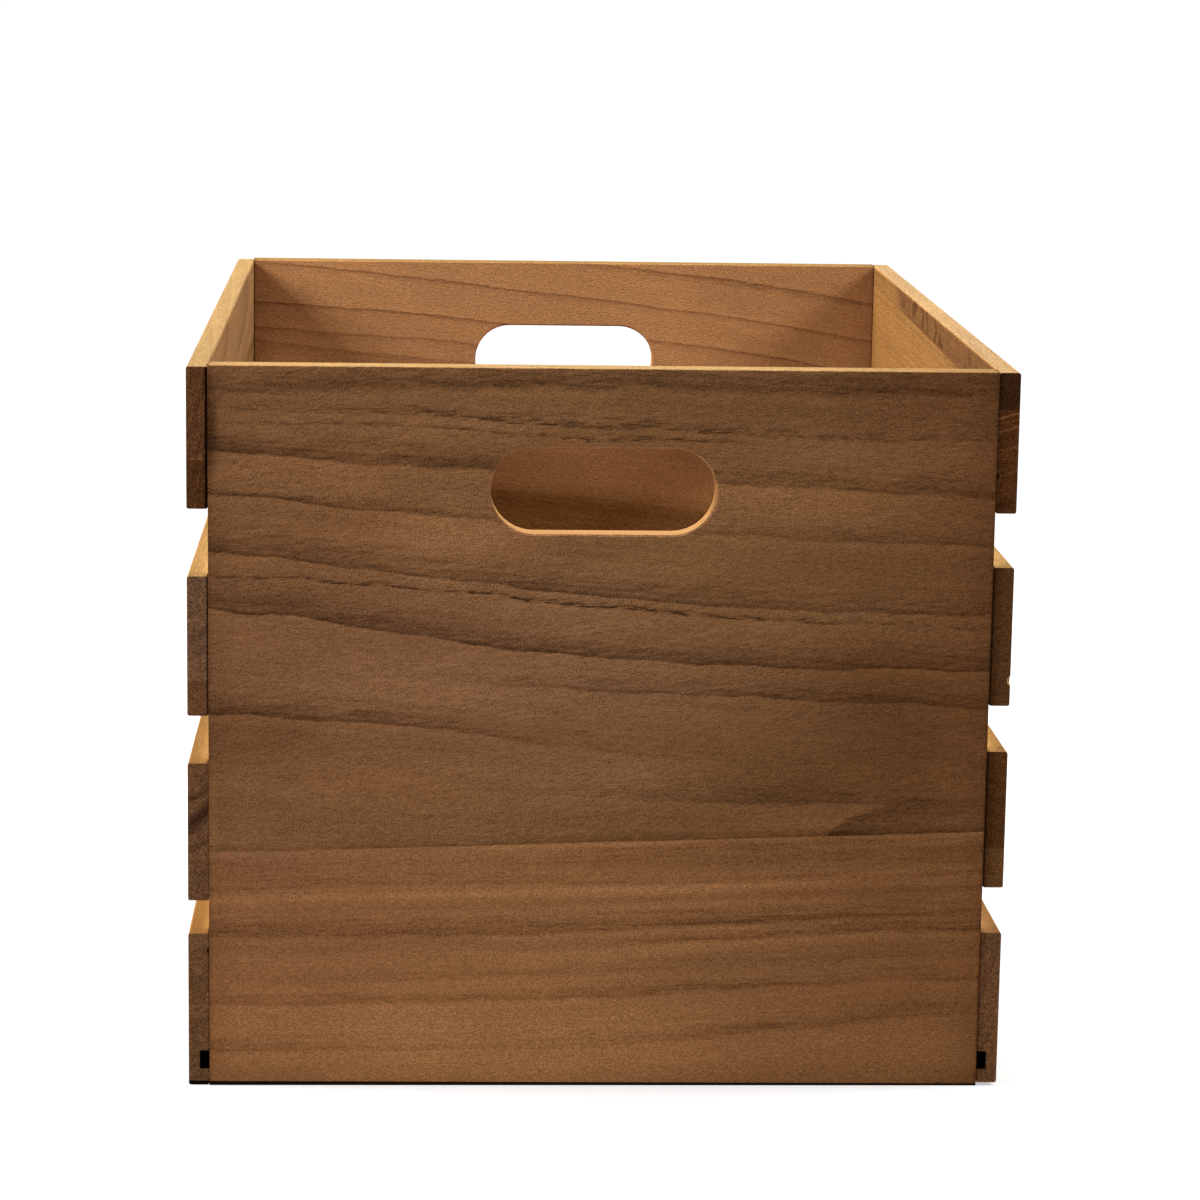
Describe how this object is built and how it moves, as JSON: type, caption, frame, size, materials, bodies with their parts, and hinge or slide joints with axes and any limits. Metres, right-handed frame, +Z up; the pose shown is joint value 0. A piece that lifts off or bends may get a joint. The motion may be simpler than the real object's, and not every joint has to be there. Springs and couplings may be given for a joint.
{
  "type": "record storage box",
  "caption": "Open-topped wooden crate for long-playing records, with solid end panels, slatted sides and a hand hole in each end.",
  "frame": {"origin": "on the ground under the middle of the crate: the bottom centre of its box", "axes": "+Z up, +Y along the crate from the front end panel to the back one, +X to the right as one looks at the front"},
  "size_m": [0.353, 0.47, 0.315],
  "materials": {
    "front_upper_wood": "stained and lightly sanded, satin",
    "front_lower_wood": "stained and lightly sanded, satin",
    "back_upper_wood": "stained and lightly sanded, satin",
    "back_lower_wood": "stained and lightly sanded, satin",
    "left_slat_wood": "stained and lightly sanded, satin",
    "right_slat_wood": "stained and lightly sanded, satin",
    "floor_wood": "sanded, matt",
    "brad_steel": "bright wire"
  },
  "bodies": {
    "root": {"front_upper_board": "front_upper_wood", "front_lower_board": "front_lower_wood", "back_upper_board": "back_upper_wood", "back_lower_board": "back_lower_wood", "left_top_slat": "left_slat_wood", "left_second_slat": "left_slat_wood", "left_third_slat": "left_slat_wood", "left_bottom_slat": "left_slat_wood", "right_top_slat": "right_slat_wood", "right_second_slat": "right_slat_wood", "right_third_slat": "right_slat_wood", "right_bottom_slat": "right_slat_wood", "floor_panel": "floor_wood", "left_top_brads": "brad_steel", "left_second_brads": "brad_steel", "left_third_brads": "brad_steel", "left_bottom_brads": "brad_steel", "right_top_brads": "brad_steel", "right_second_brads": "brad_steel", "right_third_brads": "brad_steel", "right_bottom_brads": "brad_steel"}
  },
  "joints": []
}
